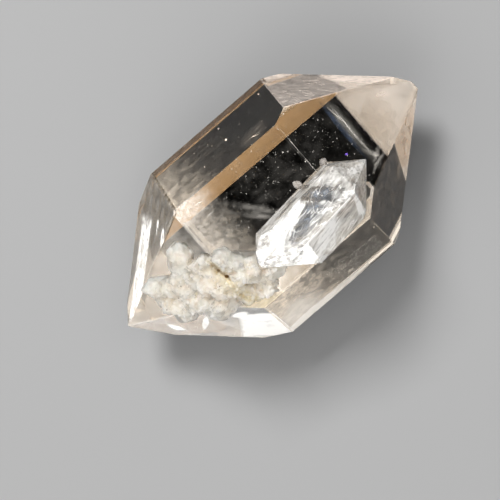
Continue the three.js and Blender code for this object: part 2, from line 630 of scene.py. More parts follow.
    def facets(self, scale: float, tilt: float) -> bpy.types.NodeSocket:
        """Tilts each small cell its own way, as the faces of broken crystals lie.

        Args:
            scale: Cells per metre.
            tilt: Steepest slope along each axis.

        Returns:
            The height over the surface, in metres.
        """
        cells = self.feed(self.node("ShaderNodeTexVoronoi"), Vector=self.place, Scale=scale)
        lean = self.feed(self.node("ShaderNodeVectorMath", operation="SUBTRACT"),
                         i0=cells.outputs["Color"], i1=(0.5, 0.5, 0.5))
        away = self.feed(self.node("ShaderNodeVectorMath", operation="SUBTRACT"),
                         i0=self.place, i1=cells.outputs["Position"])
        rise = self.feed(self.node("ShaderNodeVectorMath", operation="DOT_PRODUCT"),
                         i0=lean.outputs[0], i1=away.outputs[0])
        return self.math("MULTIPLY", rise.outputs["Value"], 2.0 * tilt)

    def bump(self, height: bpy.types.NodeSocket, distance: float,
             after: bpy.types.NodeSocket | None = None) -> bpy.types.NodeSocket:
        """Adds a bump of a real height.

        Args:
            height: The height's socket.
            distance: What a height of 1 stands for, in metres.
            after: The normal that it adds to, if there is one.

        Returns:
            The normal's socket.
        """
        made = self.feed(self.node("ShaderNodeBump"), Height=height, Distance=distance,
                         Strength=1.0)
        if after is not None:
            self.feed(made, Normal=after)
        return made.outputs["Normal"]


@dataclass(frozen=True)
class ClearQuartz:
    """Clear quartz with a faint smoky peach body colour and gently wavy faces.

    Scales are features per metre, heights are metres, and `mirror` is how much a face shows of
    what it faces squarely.
    """

    name: str = "clear_quartz"
    smoke: tuple[float, float, float] = (0.66, 0.47, 0.20)
    density: float = 14.0
    wave_scale: float = 260.0
    wave_detail: float = 1.5
    wave_height: float = 1.2e-5
    mirror: float = 0.0

    def make(self) -> bpy.types.Material:
        """Builds the material.

        Returns:
            A material with a glass surface and an even absorption.
        """
        sketch = Sketch(self.name)
        wave = sketch.noise(self.wave_scale, detail=self.wave_detail)
        sketch.feed(sketch.shader, Transmission_Weight=1.0, IOR=IOR, Roughness=0.0,
                    Normal=sketch.bump(wave, self.wave_height),
                    Specular_Tint=(*(self.mirror,) * 3, 1.0))
        absorb = sketch.node("ShaderNodeVolumeAbsorption")
        sketch.feed(absorb, Color=(*self.smoke, 1.0), Density=self.density)
        sketch.feed(sketch.output, Volume=absorb.outputs["Volume"])
        return sketch.material


@dataclass(frozen=True)
class Film:
    """A thin film, uneven, with streaks, patches and dots in it: a milky haze of fine bubbles, or
    painted light or shade.

    Its cover grows from `least` at `start` to `most` at `end`, in metres along `thicker`. Cloud
    and streak are a scale and a strength from 0 to 1.
    """

    name: str
    white: tuple[float, float, float] = (0.9, 0.85, 0.78)
    thicker: Vector = Vector((-0.5, -0.866, 0.0))
    start: float = 0.0
    end: float = 0.005
    least: float = 0.0
    most: float = 0.6
    cloud: tuple[float, float] = (300.0, 0.5)
    streak: tuple[float, float] = (1500.0, 0.5)
    stretch: float = 4.0
    turn: float = 35.0
    wander: float = 0.004
    cloud_detail: float = 5.0
    cloud_roughness: float = 0.6
    streak_detail: float = 3.0
    dots: tuple[Dots, ...] = ()
    threads: tuple[Threads, ...] = ()
    patches: tuple[Patch, ...] = ()

    def make(self) -> bpy.types.Material:
        """Builds the material.

        Returns:
            A dull white film with holes in it.
        """
        sketch = Sketch(self.name)
        cloud = sketch.noise(self.cloud[0], self.cloud_detail, self.cloud_roughness)
        streak = sketch.noise(self.streak[0], self.streak_detail, stretch=self.stretch,
                              turn=self.turn)
        wander = sketch.math("MULTIPLY_ADD", cloud, self.wander, -0.5 * self.wander)
        reach = sketch.math("ADD", sketch.along(self.thicker), wander)
        cover = sketch.ramp(reach, self.start, self.end, self.least, self.most)
        clouds = sketch.swing(cloud, self.cloud[1])
        streaks = sketch.swing(streak, self.streak[1])
        for patch in self.patches:
            cover = sketch.math("ADD", cover, sketch.patch(patch, streak))
        cover = sketch.math("MULTIPLY", cover, sketch.math("MULTIPLY", clouds, streaks))
        for thread in self.threads:
            cover = sketch.math("ADD", cover, sketch.threads(thread))
        for dots in self.dots:
            cover = sketch.math("MULTIPLY_ADD", sketch.dots(dots), dots.strength, cover)
        alpha = sketch.math("MINIMUM", sketch.math("MAXIMUM", cover, 0.0), 1.0)
        sketch.feed(sketch.shader, Base_Color=(*self.white, 1.0), Roughness=1.0, Alpha=alpha,
                    Specular_IOR_Level=0.0)
        return sketch.material


@dataclass(frozen=True)
class MilkyQuartz:
    """Cloudy granular quartz, creamy white, with stains and dark specks.

    Scales are features per metre. Facets are cells per metre and their steepest slope, and
    `scatter` is how far light goes inside, in metres.
    """

    name: str = "crust_quartz"
    cream: tuple[float, float, float] = (0.96, 0.865, 0.765)
    pale: tuple[float, float, float] = (0.99, 0.915, 0.835)
    grey: tuple[float, float, float] = (0.74, 0.67, 0.59)
    ochre: tuple[float, float, float] = (0.90, 0.76, 0.46)
    rust: tuple[float, float, float] = (0.15, 0.085, 0.03)
    dull: tuple[float, float, float] = (0.30, 0.29, 0.28)
    stains: tuple[Patch, ...] = ()
    spots: tuple[Patch, ...] = ()
    shades: tuple[Patch, ...] = ()
    specks: Dots = Dots(2900.0, 0.22, 0.12, 1.0)
    cloud_scale: float = 420.0
    fine_scale: float = 2200.0
    fine_roughness: float = 0.6
    detail: float = 4.0
    pale_span: tuple[float, float] = (0.4, 0.6)
    grey_span: tuple[float, float] = (0.5, 0.68)
    grey_most: float = 0.5
    large_facets: tuple[float, float] = (1100.0, 0.8)
    small_facets: tuple[float, float] = (2600.0, 0.6)
    grain_height: float = 8e-5
    roughness: float = 0.2
    gloss: float = 0.3
    scatter: float = 9e-4

    def colour(self, sketch: Sketch, fine: bpy.types.NodeSocket) -> bpy.types.NodeSocket:
        """Mixes the milky ground with its stains and specks.

        Args:
            sketch: The material.
            fine: The fine grain.

        Returns:
            The colour's socket.
        """
        cloud = sketch.noise(self.cloud_scale, self.detail)
        milk = sketch.blend(sketch.ramp(cloud, *self.pale_span), self.cream, self.pale)
        grey = sketch.ramp(fine, *self.grey_span, 0.0, self.grey_most)
        milk = sketch.blend(grey, milk, self.grey)
        marks = ((self.stains, self.ochre), (self.shades, self.dull), (self.spots, self.rust))
        for patches, colour in marks:
            for patch in patches:
                milk = sketch.blend(sketch.patch(patch, fine), milk, colour)
        return sketch.blend(sketch.dots(self.specks), milk, self.rust)

    def make(self) -> bpy.types.Material:
        """Builds the material.

        Returns:
            A dense material that scatters light, with a broken crystalline surface.
        """
        sketch = Sketch(self.name)
        fine = sketch.noise(self.fine_scale, self.detail, self.fine_roughness)
        broken = sketch.math("ADD", sketch.facets(*self.large_facets),
                             sketch.facets(*self.small_facets))
        surface = sketch.bump(broken, 1.0, sketch.bump(fine, self.grain_height))
        sketch.feed(sketch.shader, Base_Color=self.colour(sketch, fine), Normal=surface, IOR=IOR,
                    Roughness=self.roughness, Specular_IOR_Level=self.gloss,
                    Subsurface_Weight=1.0, Subsurface_Radius=(1.0, 1.0, 1.0),
                    Subsurface_Scale=self.scatter)
        return sketch.material


# ---- Pieces --------------------------------------------------------------------------------------


@dataclass
class MainCrystal:
    """The large crystal, with a low terrace on one side of its top face.

    The terrace lies `terrace_drop` under the top face. The step between them is parallel to the
    prism face `riser_face`, at `riser_distance` from the centre.
    """

    habit: Habit = Habit(
        prism=(8.56, 8.64, 7.09, 7.48, 8.25, 8.62),
        upper=(9.63, 10.67, 10.4, 10.43, 10.6, 10.26),
        lower=(10.87, 10.88, 11.32, 10.28, 11.83, 10.63),
    )
    terrace_drop: float = 2.29
    riser_face: int = 5
    riser_distance: float = 6.45
    edge: float = 0.03

    def terrace(self) -> Face:
        """Gives the low face beside the top one."""
        return self.habit.side(0).moved(-self.terrace_drop)

    def riser(self) -> Face:
        """Gives the step between the top face and the terrace."""
        return Face(prism_normal(self.riser_face), self.riser_distance)

    def parts(self) -> list[Habit]:
        """Gives the two overlapping crystals that it amounts to.

        Returns:
            The one beside the terrace, and the one below it.
        """
        beside, below = list(self.habit.prism), list(self.habit.prism)
        beside[self.riser_face] = self.riser_distance
        below[0] -= self.terrace_drop
        return [replace(self.habit, prism=tuple(p)) for p in (beside, below)]

    def notch(self) -> bpy.types.Object:
        """Makes the space over the terrace.

        Returns:
            A block to cut away, in millimetres.
        """
        cutter = Bench.block("notch", CENTRE)
        Bench.cleave(cutter, lie_down([self.terrace().back(), self.riser().back()]))
        return cutter

    def build(self) -> bpy.types.Object:
        """Cleaves the crystal and lays it down.

        Returns:
            The finished piece, in metres.
        """
        piece = Bench.block("main_crystal", CENTRE)
        Bench.cleave(piece, lie_down(self.habit.faces()))
        Bench.subtract(piece, self.notch())
        Bench.soften(piece, self.edge)
        Bench.to_metres(piece)
        Bench.flat(piece)
        piece.data.materials.append(ClearQuartz().make())
        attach(piece, "root")
        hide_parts("herkimer_crystal")
        return piece


@dataclass
class SmallCrystal:
    """The smaller crystal that lies across the terrace and its step."""

    habit: Habit = Habit(
        prism=(2.41, 2.78, 2.06, 2.6, 2.72, 2.31),
        upper=(4.2, 4.43, 4.3, 4.3, 3.83, 3.89),
        lower=(4.2, 5.03, 4.46, 4.3, 3.68, 3.36),
    )
    seat: Seat = Seat(Vector((2.23, -3.29, 8.21)), heading=5.9, dip=11.7, roll=-9.75)
    edge: float = 0.03

    def build(self) -> bpy.types.Object:
        """Cleaves the crystal in its place on the main one.

        Returns:
            The finished piece, in metres.
        """
        turn = self.seat.turn()
        own = [face.turned(turn, self.seat.at) for face in self.habit.faces()]
        piece = Bench.block("small_crystal", CENTRE)
        Bench.cleave(piece, lie_down(own))
        Bench.soften(piece, self.edge)
        Bench.to_metres(piece)
        Bench.flat(piece)
        piece.data.materials.append(ClearQuartz(name="small_quartz", density=2.0).make())
        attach(piece, "root")
        return piece


@dataclass(frozen=True)
class Grain:
    """One small crystal of the crust, in the main crystal's axes.

    `stretch` is the distance of its end faces over that of its sides, and its c axis points
    along `heading` and up by `rise`, in degrees.
    """

    plan: tuple[float, float]
    lift: float
    radius: float
    stretch: float
    heading: float
    rise: float

    def cleave(self, name: str, height: float, roll: float = 0.0) -> bpy.types.Object:
        """Cleaves the grain where it grows.

        Args:
            name: Name of the object.
            height: Height of its centre.
            roll: Turn about its c axis, in degrees.

        Returns:
            The grain, in millimetres.
        """
        ends = (self.radius * self.stretch,) * PRISM_FACES
        habit = Habit((self.radius,) * PRISM_FACES, ends, ends)
        seat = Seat(Vector((*self.plan, height)), self.heading, -self.rise, roll)
        turn = seat.turn()
        piece = Bench.block(name, CENTRE)
        Bench.cleave(piece, lie_down([f.turned(turn, seat.at) for f in habit.faces()]))
        return piece


@dataclass
class Crust:
    """Tiny crystals and lumps grown over the lower end of the main crystal.

    It runs from `start` to `end` in plan. Lumps and points come first and are melted together,
    and what lies more than `root` inside the main crystal is cut off. Crumbs are then dropped on
    it from above. `lump_sink` and `point_lift` are shares of the radius, and `lump_sway` is a
    share of the half width. A face counts as an upper one if its normal rises by `upright`.
    """

    start: tuple[float, float] = (-12.7, 0.1)
    end: tuple[float, float] = (-3.9, -4.5)
    half_width: tuple[float, float] = (1.27, 2.3)
    lumps: int = 14
    points: int = 44
    lump_radius: tuple[float, float] = (1.0, 1.45)
    lump_faces: int = 16
    lump_bulge: tuple[float, float] = (0.78, 1.08)
    lump_sink: float = 0.4
    lump_sway: float = 0.75
    lump_sway_step: float = 2.4
    point_radius: tuple[float, float] = (0.35, 0.72)
    point_stretch: tuple[float, float] = (1.2, 1.7)
    point_lift: float = 0.5
    point_lean: float = 65.0
    seed: int = 4711
    grains: tuple[Grain, ...] = (
        Grain((-9.0, 1.6), 0.35, 1.05, 1.45, 48, 48),
        Grain((-11.8, 0.8), 0.35, 0.85, 1.6, 150, 4),
        Grain((-6.05, -0.85), 0.5, 0.9, 1.3, 70, 58),
        Grain((-4.8, -3.0), 0.5, 1.0, 1.25, 60, 55),
        Grain((-3.6, -3.6), 0.6, 1.3, 1.2, -10, 20),
        Grain((5.65, -0.05), 0.0, 0.33, 1.2, 20, 30),
        Grain((2.85, -0.1), 0.0, 0.33, 1.2, 110, 20),
    )
    stains: tuple[Patch, ...] = (
        Patch((-2.6, -6.9), (1.0, -0.75), 2.4, 0.6, 0.38, soft=0.7, ragged=1.6),
        Patch((-1.2, -7.9), (1.0, -0.5), 1.2, 0.5, 0.4, soft=0.7, ragged=1.6),
        Patch((-4.3, -5.0), (1.0, -1.0), 1.1, 0.3, 0.5, soft=0.5, ragged=1.4),
        Patch((-3.2, -6.1), (0.6, -1.0), 0.9, 0.22, 0.45, soft=0.5, ragged=1.4),
        Patch((-0.7, -8.6), (1.0, 0.55), 1.8, 0.6, 0.6, soft=0.5, ragged=0.9),
        Patch((-1.6, -8.3), (1.0, -0.3), 0.7, 0.12, 0.5, soft=0.5, ragged=1.8),
    )
    spots: tuple[Patch, ...] = (
        Patch((-4.18, -5.07), (1, 0), 0.16, 0.13, 0.9, ragged=0.8),
        Patch((-3.5, -5.58), (1, 0), 0.2, 0.16, 1.0, ragged=0.8),
        Patch((-4.1, -5.1), (1, -0.8), 1.0, 0.16, 0.45, soft=0.6, ragged=1.6),
        Patch((-3.0, -6.3), (0.6, -1), 0.7, 0.1, 0.28, soft=0.6, ragged=1.8),
        Patch((-1.9, -8.5), (1, 0.3), 0.35, 0.14, 0.3, soft=0.6, ragged=1.8),
    )
    shades: tuple[Patch, ...] = (
        Patch((4.63, 4.01), (1, 0), 0.7, 0.7, 0.75, ragged=0.3),
        Patch((2.53, 2.15), (1, 0), 0.7, 0.7, 0.7, ragged=0.3),
    )
    crumbs: int = 320
    crumb_radius: tuple[float, float] = (0.07, 0.17)
    crumb_kinds: int = 5
    crumb_stretch_step: float = 0.18
    crumb_turn_step: float = 0.6
    crumb_block: float = 12.0
    crumb_span: tuple[float, float] = (-0.04, 1.04)
    crumb_spread: float = 2.2
    crumb_fall: float = 30.0
    crumb_lean: float = 1.4
    voxel: float = 0.09
    smooth_rounds: int = 6
    root: float = 0.1
    fine_voxel: float = 0.07
    fine_rounds: int = 1
    upright: float = 0.01
    smooth_angle: float = 50.0

    def plan(self, along: float, across: float) -> tuple[float, float]:
        """Finds a point of the crust in plan.

        Args:
            along: 0 at the lower tip to 1 at the small crystal.
            across: -1 to 1 from side to side.

        Returns:
            The point, in the main crystal's axes.
        """
        start, end = Vector(self.start), Vector(self.end)
        line = end - start
        side = Vector((-line.y, line.x)).normalized()
        low, high = self.half_width
        width = low + (high - low) * math.sin(math.pi * along)
        return tuple(start + line * along + side * across * width)

    def height(self, plan: tuple[float, float]) -> float:
        """Finds the height of the main crystal's upper surface.

        Args:
            plan: A point seen from above, in the main crystal's axes.

        Returns:
            The height over the crystal's centre.
        """
        return max(
            min((f.distance - f.normal.x * plan[0] - f.normal.y * plan[1]) / f.normal.z
                for f in part.faces() if f.normal.z > self.upright)
            for part in MainCrystal().parts()
        )

    def lump(self, index: int, draws: Draws) -> bpy.types.Object:
        """Cleaves one lump with flat faces spread evenly over it.

        Args:
            index: Its number, from the lower tip on.
            draws: Where its random sizes come from.

        Returns:
            The lump, in millimetres.
        """
        sway = self.lump_sway * math.sin(self.lump_sway_step * index)
        plan = self.plan((index + 0.5) / self.lumps, sway)
        radius = draws.between(self.lump_radius)
        at = Vector((*plan, self.height(plan) - self.lump_sink * radius))
        faces = []
        for n in range(self.lump_faces):
            up = 1 - (2 * n + 1) / self.lump_faces
            turn = n * math.pi * (3 - math.sqrt(5))
            flat = math.sqrt(1 - up * up)
            normal = Vector((flat * math.cos(turn), flat * math.sin(turn), up))
            faces.append(Face(normal, radius * draws.between(self.lump_bulge) + normal.dot(at)))
        piece = Bench.block(f"lump_{index}", CENTRE)
        Bench.cleave(piece, lie_down(faces))
        return piece

    def point(self, index: int, draws: Draws) -> bpy.types.Object:
        """Cleaves one pointed crystal that leans out of the crust.

        Args:
            index: Its number.
            draws: Where its random sizes come from.

        Returns:
            The crystal, in millimetres.
        """
        along = draws.next()
        plan = self.plan(along, 2 * draws.next() - 1)
        radius = draws.between(self.point_radius)
        stretch = draws.between(self.point_stretch)
        rise = 90 - self.point_lean * draws.next()
        heading = 360 * draws.next()
        roll = PRISM_STEP * draws.next()
        grain = Grain(plan, self.point_lift * radius, radius, stretch, heading, rise)
        return grain.cleave(f"point_{index}", self.height(plan) + grain.lift, roll)

    def ground(self) -> bpy.types.Object:
        """Makes the lumps and points that the crumbs grow on.

        Returns:
            One skin, in millimetres, without what lies deep in the main crystal.
        """
        draws = Draws(self.seed)
        made = [self.lump(n, draws) for n in range(self.lumps)]
        made += [self.point(n, draws) for n in range(self.points)]
        made += [g.cleave("grain", self.height(g.plan) + g.lift) for g in self.grains]
        whole = Bench.join("crust", made)
        Bench.grow_together(whole, self.voxel, self.smooth_rounds)
        for part in MainCrystal().parts():
            cutter = Bench.block("below", CENTRE)
            Bench.cleave(cutter, lie_down([f.moved(-self.root) for f in part.faces()]))
            Bench.subtract(whole, cutter)
        return whole

    def crumb_patterns(self) -> list[bpy.types.Object]:
        """Cleaves a few tiny crystals to copy.

        Returns:
            The crystals, 1 in radius, centred on the origin with c along Z.
        """
        made = []
        for kind in range(self.crumb_kinds):
            ends = (1.0 + self.crumb_stretch_step * kind,) * PRISM_FACES
            turn = Euler((0, -math.pi / 2, self.crumb_turn_step * kind)).to_matrix()
            piece = Bench.block(f"crumb_{kind}", ORIGIN, self.crumb_block)
            habit = Habit((1.0,) * PRISM_FACES, ends, ends)
            Bench.cleave(piece, [f.turned(turn, ORIGIN) for f in habit.faces()])
            made.append(piece)
        return made

    def scatter(self, ground: bpy.types.Object) -> bpy.types.Object:
        """Grows crumbs all over the crust.

        Args:
            ground: The lumps and points, in millimetres.

        Returns:
            All crumbs as one object.
        """
        draws = Draws(self.seed + 1)
        patterns = self.crumb_patterns()
        made = []
        while len(made) < self.crumbs:
            along = draws.between(self.crumb_span)
            across = self.crumb_spread * draws.next() - 0.5 * self.crumb_spread
            over = LYING @ Vector((*self.plan(min(max(along, 0.0), 1.0), across), 0.0)) + CENTRE
            over.z = self.crumb_fall
            hit, at, normal, _ = ground.ray_cast(over, Vector((0, 0, -1)))
            size = draws.between(self.crumb_radius)
            lean = Vector([draws.next() - 0.5 for _ in range(3)]) * self.crumb_lean
            spin = draws.between((0.0, 2 * math.pi))
            if not hit:
                continue
            pattern = patterns[len(made) % len(patterns)]
            aim = Vector((0, 0, 1)).rotation_difference((normal + lean).normalized())
            place = Matrix.LocRotScale(at, aim @ Quaternion((0, 0, 1), spin), Vector((size,) * 3))
            crumb = Bench.copy(pattern, "crumb")
            crumb.data.transform(place)
            made.append(crumb)
        for pattern in patterns:
            bpy.data.objects.remove(pattern)
        return Bench.join("crumbs", made)

    def build(self) -> bpy.types.Object:
        """Makes the whole crust.

        Returns:
            The finished piece, in metres.
        """
        ground = self.ground()
        crumbs = self.scatter(ground)
        piece = Bench.join("crust", [ground, crumbs])
        Bench.grow_together(piece, self.fine_voxel, self.fine_rounds)
        Bench.to_metres(piece)
        Bench.take(piece)
        bpy.ops.object.shade_smooth_by_angle(angle=math.radians(self.smooth_angle))
        quartz = MilkyQuartz(stains=self.stains, spots=self.spots, shades=self.shades)
        piece.data.materials.append(quartz.make())
        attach(piece, "root")
        return piece


class Side(Enum):
    """Which of the main crystal's overlapping bodies a film lies in."""

    BESIDE_TERRACE = 0
    BELOW_TERRACE = 1


@dataclass(frozen=True)
class Layer:
    """A film under one face of the main crystal.

    It lies `depth` inside the face, and one that is `beyond_step` stays on the terrace's side of
    the step.
    """

    face: Face
    film: Film
    side: Side = Side.BESIDE_TERRACE
    depth: float = 0.06
    beyond_step: bool = False


LOW_LEFT = Vector((-0.759, -0.651, 0.0))  # Along c towards the lower end.


@dataclass
class Inclusions:
    """Milky films and flecks inside the main crystal, most of them just under its faces, and films
    of painted light and shade.

    `hair` is the gap left between the films and the other faces, and `film` their thickness.
    """

    habit: Habit = MainCrystal.habit
    hair: float = 0.01
    film: float = 0.03
    dust: tuple[Dots, ...] = (Dots(4800.0, 0.28, 0.25, 0.22), Dots(2400.0, 0.2, 0.03, 0.5))
    fine: tuple[Dots, ...] = (Dots(5000.0, 0.28, 0.2, 0.2), Dots(2000.0, 0.18, 0.03, 0.5))

    def haze_and_floor_light_below(self) -> list[Layer]:
        """Lists the haze that lies deep, just over the underside, which is partly painted light for
        the lit floor seen through it.

        Returns:
            The films, each with its face.
        """
        habit = self.habit
        return [
            # partly painted light: milky haze that also stands in for light falling on the floor
            # under the crystal
            Layer(habit.side(3), Film(
                "foot_haze_and_light", thicker=Vector((-0.57, -0.82, 0.0)), start=0.0016, end=0.0076,
                most=0.19, cloud=(1100.0, 0.15), streak=(3200.0, 0.4), stretch=2.0,
            ), depth=0.12),
            # partly painted light: haze over the lower underside face, also standing in for the lit
            # floor under the lower end
            Layer(habit.foot(3), Film(
                "end_haze_and_light", most=0.11, cloud=(700.0, 0.1), streak=(4200.0, 0.2), stretch=2.0,
            ), depth=0.12),
        ]

    def painted_light_at_sides(self) -> list[Layer]:
        """Lists the films low on the sides: painted reflections that show as pale bands through the
        top.

        Returns:
            The films, each with its face.
        """
        habit = self.habit
        return [
            # painted reflection: a tan film standing in for light reflected inside the crystal,
            # seen as a band through the top
            Layer(habit.side(2), Film(
                "left_painted_reflection", white=(0.6, 0.4, 0.21), thicker=Vector((0, 0, -1)), start=-0.0034,
                end=-0.0024, least=0.05, most=0.62, cloud=(300.0, 0.08), streak=(900.0, 0.05),
                wander=0.0006,
            )),
            # painted reflection: a bright film standing in for light reflected inside the crystal,
            # seen as a strip along the lower right side
            Layer(habit.side(4), Film(
                "right_painted_reflection", white=(1.0, 0.95, 0.87), thicker=Vector((0, 0, 1)), start=0.002,
                end=0.0034, least=0.2, most=1.0, cloud=(300.0, 0.1), streak=(900.0, 0.05),
                wander=0.001,
            )),
        ]

    def films_on_top(self) -> list[Layer]:
        """Lists the dust, flecks and haze under the top face, and a painted highlight along its
        edge to the upper end.

        Returns:
            The films, each with its face.
        """
        habit = self.habit
        return [
            Layer(habit.side(0), Film(
                "top_dust_and_highlight", least=0.004, most=0.004, cloud=(500.0, 0.9), dots=self.dust,
                patches=(
                    Patch((-0.3, 0.1), (1, -0.16), 2.4, 0.2, 0.05, soft=1.2, ragged=3.5),
                    Patch((-1.0, -0.45), (1, -0.1), 1.4, 0.16, 0.04, soft=1.2, ragged=3.5),
                    Patch((-5.9, 0.6), (1, 0.6), 0.5, 0.05, 0.14, ragged=1.6),
                    Patch((-5.4, 0.1), (1, 0.3), 0.4, 0.04, 0.12, ragged=1.6),
                    Patch((-4.9, -0.3), (1, 0.8), 0.35, 0.04, 0.1, ragged=1.6),
                    # painted highlight: a thin bright line along the edge between the top face and
                    # the upper end
                    Patch((2.37, 5.33), (1, -1.18), 2.6, 0.035, 0.35, soft=0.4),
                ),
            )),
            Layer(habit.side(0), Film(
                "top_haze", white=(0.8, 0.74, 0.67), thicker=Vector((-0.8, -0.6, 0.0)),
                start=0.0018, end=0.0076, most=0.1, cloud=(2400.0, 0.25), streak=(3600.0, 0.3),
                stretch=1.5, wander=0.003,
                patches=(
                    Patch((-7.1, 0.1), (1, 0.8), 1.7, 0.9, 0.22, soft=0.9, ragged=0.5),
                ),
            ), depth=0.12),
        ]

    def films_at_sides(self) -> list[Layer]:
        """Lists the films under the two upper side faces.

        Returns:
            The films, each with its face.
        """
        habit = self.habit
        return [
            Layer(habit.side(1), Film(
                "left_dust", white=(0.85, 0.72, 0.58), thicker=LOW_LEFT, start=-0.004, end=0.008,
                least=0.003, most=0.03, cloud=(900.0, 0.15), streak=(3200.0, 0.7), stretch=9.0,
                turn=41.0, dots=self.fine,
                patches=(
                    Patch((-3.72, 5.96), (1, 0), 0.1, 0.09, 1.0, soft=0.2),
                    Patch((-1.2, 6.4), (1, 1), 1.0, 0.4, 0.04, soft=0.9, ragged=1.8),
                    Patch((-1.1, 6.3), (1, 0.4), 0.3, 0.06, 0.3, ragged=2.2),
                ),
            )),
            # painted shade: a dark brown strip along the left edge, where the crystal looks dark
            Layer(habit.side(1), Film(
                "left_painted_shade", white=(0.085, 0.052, 0.03), most=0.0, cloud=(1500.0, 0.5),
                streak=(3000.0, 0.5), stretch=3.0, turn=41.0,
                patches=(
                    Patch((-5.5, 7.2), (1, 0.857), 7.5, 0.42, 0.85, soft=0.3, ragged=0.3,
                          square=True),
                ),
            ), depth=0.12),
            Layer(habit.side(5), Film(
                "right_mottle_and_highlight", white=(0.82, 0.72, 0.6), thicker=Vector((-0.45, -0.89, 0)),
                start=0.0005, end=0.0085, least=0.06, most=0.65, cloud=(1100.0, 0.36),
                streak=(4200.0, 0.25), stretch=1.5, dots=self.fine,
                patches=(
                    # painted highlight: a thin bright line along the edge between this face and the
                    # upper end
                    Patch((9.85, -2.1), (1, -1.05), 1.6, 0.035, 0.22, soft=0.4),
                    Patch((7.0, -5.5), (1, 0.6), 0.3, 0.09, 0.5, ragged=1.6),
                ),
            ), Side.BELOW_TERRACE),
            # painted highlight: a bright cream strip along the lower right edge
            Layer(habit.side(5), Film(
                "right_painted_highlight", white=(1.0, 0.95, 0.88), most=0.0, cloud=(900.0, 0.2),
                streak=(1500.0, 0.15),
                patches=(
                    Patch((4.48, -8.52), (1, 0.857), 4.6, 0.3, 1.0, soft=0.5, ragged=0.4),
                    Patch((2.6, -9.2), (1, 0.8), 1.9, 1.0, 0.55, soft=0.8, ragged=0.4),
                ),
            ), Side.BELOW_TERRACE, depth=0.02),
        ]

    def films_at_tip(self) -> list[Layer]:
        """Lists the films under the faces of the upper end.

        Returns:
            The films, each with its face.
        """
        habit = self.habit
        return [
            Layer(habit.tip(0), Film(
                "tip_dust", least=0.004, most=0.004, dots=self.dust,
                patches=(
                    Patch((7.0, 6.7), (2.3, -2.7), 2.7, 0.3, 0.06, soft=0.9, ragged=2.4),
                    Patch((5.7, 8.1), (1, -0.9), 0.8, 0.06, 0.13, soft=0.5, ragged=3.0),
                    Patch((6.1, 7.9), (1, -1.15), 0.9, 0.03, 0.13, ragged=3.0),
                    Patch((6.9, 6.9), (1, -1.25), 1.0, 0.06, 0.13, soft=0.5, ragged=2.6),
                    Patch((8.0, 5.65), (2.3, -2.5), 1.2, 0.09, 0.13, soft=0.5, ragged=2.6),
                    Patch((8.8, 4.8), (1, -0.4), 0.7, 0.2, 0.1, soft=0.5, ragged=2.6),
                    Patch((9.2, 4.6), (0.3, 1), 0.6, 0.2, 0.1, soft=0.5, ragged=2.6),
                    Patch((9.5, 4.3), (1, 1.2), 0.6, 0.12, 0.08, soft=0.5, ragged=2.6),
                    Patch((9.2, 3.7), (0.5, 1), 0.5, 0.12, 0.06, ragged=2.6),
                    Patch((4.74, 4.0), (1, 0), 0.3, 0.2, 0.35, ragged=2.0),
                ),
            )),
            Layer(habit.tip(0), Film(
                "tip_shade", white=(0.03, 0.045, 0.075), most=0.0,
                patches=(
                    Patch((6.3, 6.8), (3.66, -4.39), 2.6, 0.22, 0.3, soft=0.4, ragged=0.6),
                ),
            ), depth=0.12),
            Layer(habit.tip(0), Film(
                "violet_glint", white=(0.35, 0.2, 1.0), most=0.0,
                patches=(
                    Patch((6.6, 4.7), (1, 0), 0.12, 0.07, 1.0),
                ),
            ), depth=0.18),
            # partly painted light: a faint frost, with pale areas that stand in for light seen
            # through this face
            Layer(habit.tip(1), Film(
                "tip_frost_and_light", white=(0.95, 0.83, 0.74), least=0.2, most=0.2, cloud=(500.0, 0.12),
                streak=(3400.0, 0.4), stretch=2.6, turn=-4.0,
                patches=(
                    Patch((0.2, 11.6), (1, 0.1), 1.6, 0.3, 0.35, soft=0.2, ragged=0.4),
                    Patch((8.1, 11.5), (1, -0.02), 3.4, 0.6, 0.8, soft=0.2, ragged=0.2),
                ),
            )),
            # partly painted light: a pale cloud that also stands in for light reflected inside the
            # crystal
            Layer(habit.tip(3), Film(
                "tip_cloud_and_light", white=(1.0, 0.93, 0.88), least=0.15, most=0.15, cloud=(420.0, 0.12),
                streak=(1500.0, 0.12), stretch=2.0, turn=20.0,
                patches=(
                    Patch((9.0, 9.2), (2.3, 1.0), 1.6, 0.3, 0.1, soft=0.95, ragged=2.4),
                    Patch((8.6, 7.6), (1.0, 0.5), 1.0, 0.3, 0.06, soft=0.95, ragged=2.4),
                    Patch((12.2, 9.9), (1.0, 0.2), 1.6, 0.9, -0.07, soft=0.9, ragged=0.8),
                ),
            )),
            Layer(habit.tip(5), Film(
                "tip_mottle", white=(0.8, 0.62, 0.45), least=0.035, most=0.035, cloud=(1500.0, 0.5),
                dots=self.fine,
                patches=(
                    Patch((11.8, 5.9), (0.15, 1), 2.6, 0.5, 0.24, soft=0.6, ragged=0.1),
                ),
            ), Side.BELOW_TERRACE),
        ]

